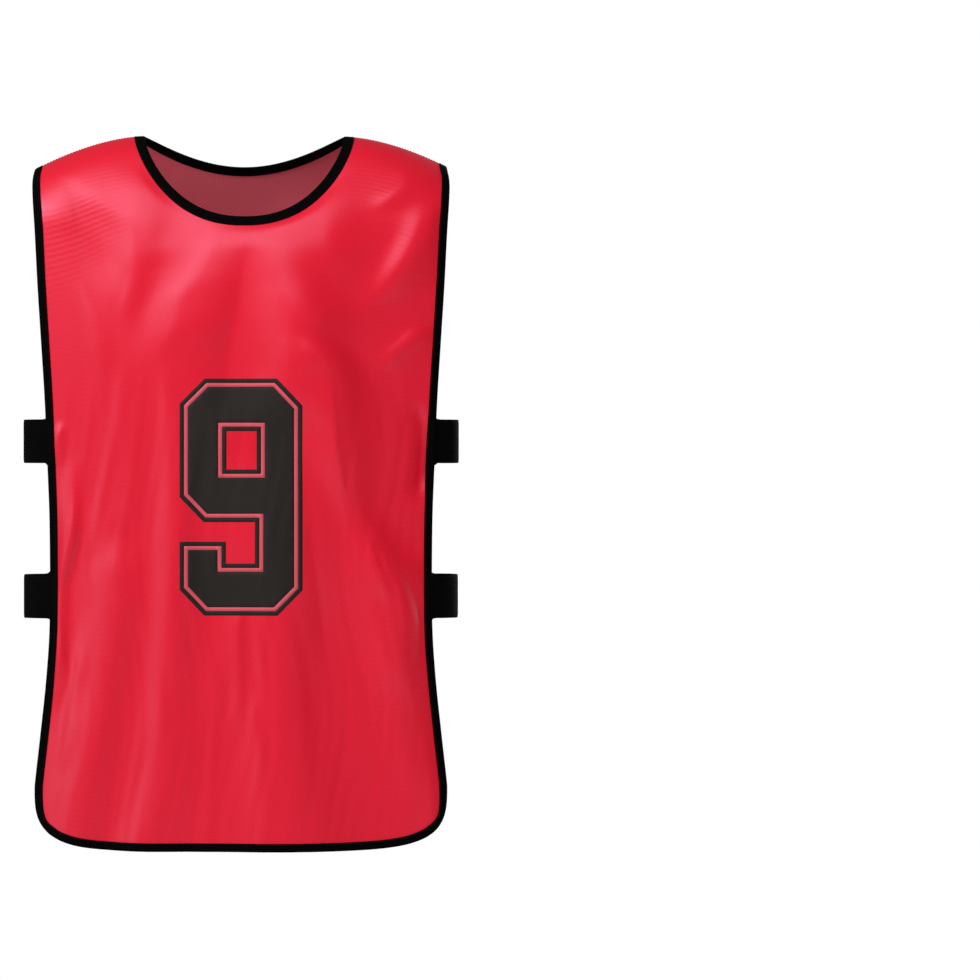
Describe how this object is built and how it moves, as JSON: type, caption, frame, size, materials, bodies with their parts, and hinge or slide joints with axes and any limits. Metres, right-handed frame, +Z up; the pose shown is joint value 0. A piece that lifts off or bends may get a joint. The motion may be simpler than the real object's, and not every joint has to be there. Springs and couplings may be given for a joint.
{
  "type": "mesh training bib",
  "caption": "Sleeveless mesh pullover bib for team training, open at the sides, with bound edges and elastic side straps, in its hollow worn form.",
  "frame": {"origin": "midway between the wearer's shoulders, level with the neck ends of the shoulder seams", "axes": "+Z up, the front faces -Y, +X towards the wearer's left"},
  "size_m": [0.4248, 0.2121, 0.6942],
  "materials": {
    "mesh_cloth": "red knitted polyester mesh with fine holes and a soft sheen",
    "binding_tape": "black woven binding tape, matt",
    "side_elastic": "black ribbed elastic, matt"
  },
  "bodies": {
    "root": {"front_panel": "mesh_cloth", "back_panel": "mesh_cloth", "neck_binding": "binding_tape", "edge_binding": "binding_tape", "side_strap_upper_left": "side_elastic", "side_strap_upper_right": "side_elastic", "side_strap_lower_left": "side_elastic", "side_strap_lower_right": "side_elastic"}
  },
  "joints": []
}
